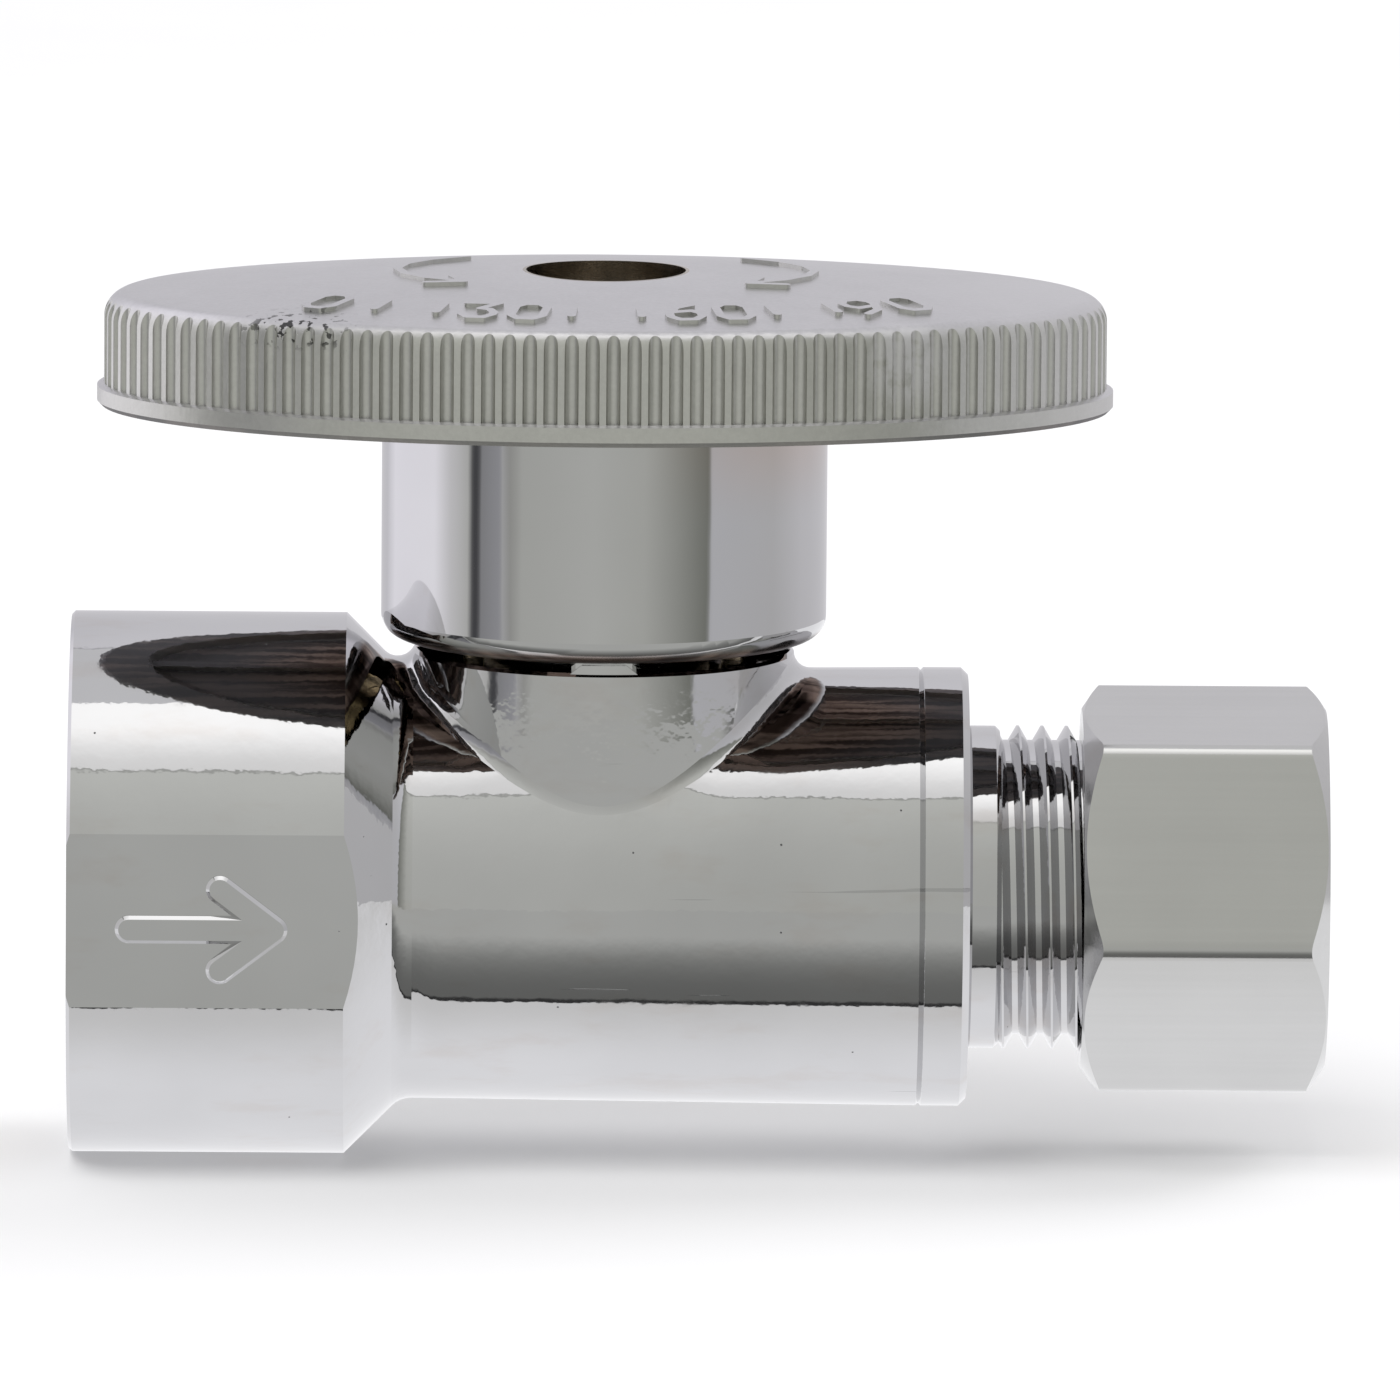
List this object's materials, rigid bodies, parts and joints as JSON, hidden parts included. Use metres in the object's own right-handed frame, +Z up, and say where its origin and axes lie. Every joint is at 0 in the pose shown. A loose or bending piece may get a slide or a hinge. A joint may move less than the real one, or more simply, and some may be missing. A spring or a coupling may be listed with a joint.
{
  "type": "angle stop valve",
  "caption": "Straight quarter-turn stop valve with a fluted oval handle, female pipe-thread inlet and compression tube outlet.",
  "frame": {"origin": "centre of the inlet mouth, on the flow axis", "axes": "+X along the flow from the inlet to the outlet, +Z up the stem to the handle"},
  "size_m": [0.0543, 0.0266, 0.0386],
  "materials": {
    "chrome_plate": "bright chromed brass",
    "satin_chrome": "satin chromed die casting",
    "nickel_plate": "semi-bright plated brass",
    "plated_steel": "zinc plated",
    "bare_brass": "machined",
    "seat_plastic": "machined fluoropolymer",
    "seal_rubber": "moulded"
  },
  "bodies": {
    "body": {"valve_body": "chrome_plate", "outlet_adapter": "chrome_plate", "adapter_o_ring": "seal_rubber", "inlet_seat": "seat_plastic", "outlet_seat": "seat_plastic", "inlet_seat_backing_ring": "seal_rubber", "outlet_seat_backing_ring": "seal_rubber", "lower_packing_ring": "seat_plastic", "upper_packing_ring": "seat_plastic", "packing_gland": "bare_brass", "packing_nut": "bare_brass"},
    "handle": {"handle": "satin_chrome", "handle_screw": "plated_steel", "screw_lock_washer": "plated_steel", "stem": "bare_brass", "stem_o_ring": "seal_rubber", "stem_thrust_washer": "seat_plastic"},
    "ball": {"ball": "chrome_plate"},
    "ferrule": {"compression_ferrule": "bare_brass"},
    "nut": {"compression_nut": "nickel_plate"}
  },
  "joints": [
    {"name": "handle_turn", "type": "hinge", "parent": "body", "child": "handle", "pos_m": [0.023, 0, 0], "axis": [0, 0, 1], "range_deg": [-90, 0]},
    {"name": "ball_turn", "type": "hinge", "parent": "body", "child": "ball", "pos_m": [0.023, 0, 0], "axis": [0, 0, 1], "range_deg": [-90, 0]},
    {"name": "ferrule_slide", "type": "slide", "parent": "body", "child": "ferrule", "axis": [1, 0, 0], "range_m": [-0.0002, 0.0032]},
    {"name": "nut_turn", "type": "hinge", "parent": "ferrule", "child": "nut", "pos_m": [0, 0, 0], "axis": [1, 0, 0], "range_deg": [-70, 1090]}
  ],
  "couplings": [
    {"joint": "ball_turn", "follows": "handle_turn", "ratio": 1},
    {"joint": "nut_turn", "follows": "ferrule_slide", "rad_per_m": 5936.9}
  ]
}
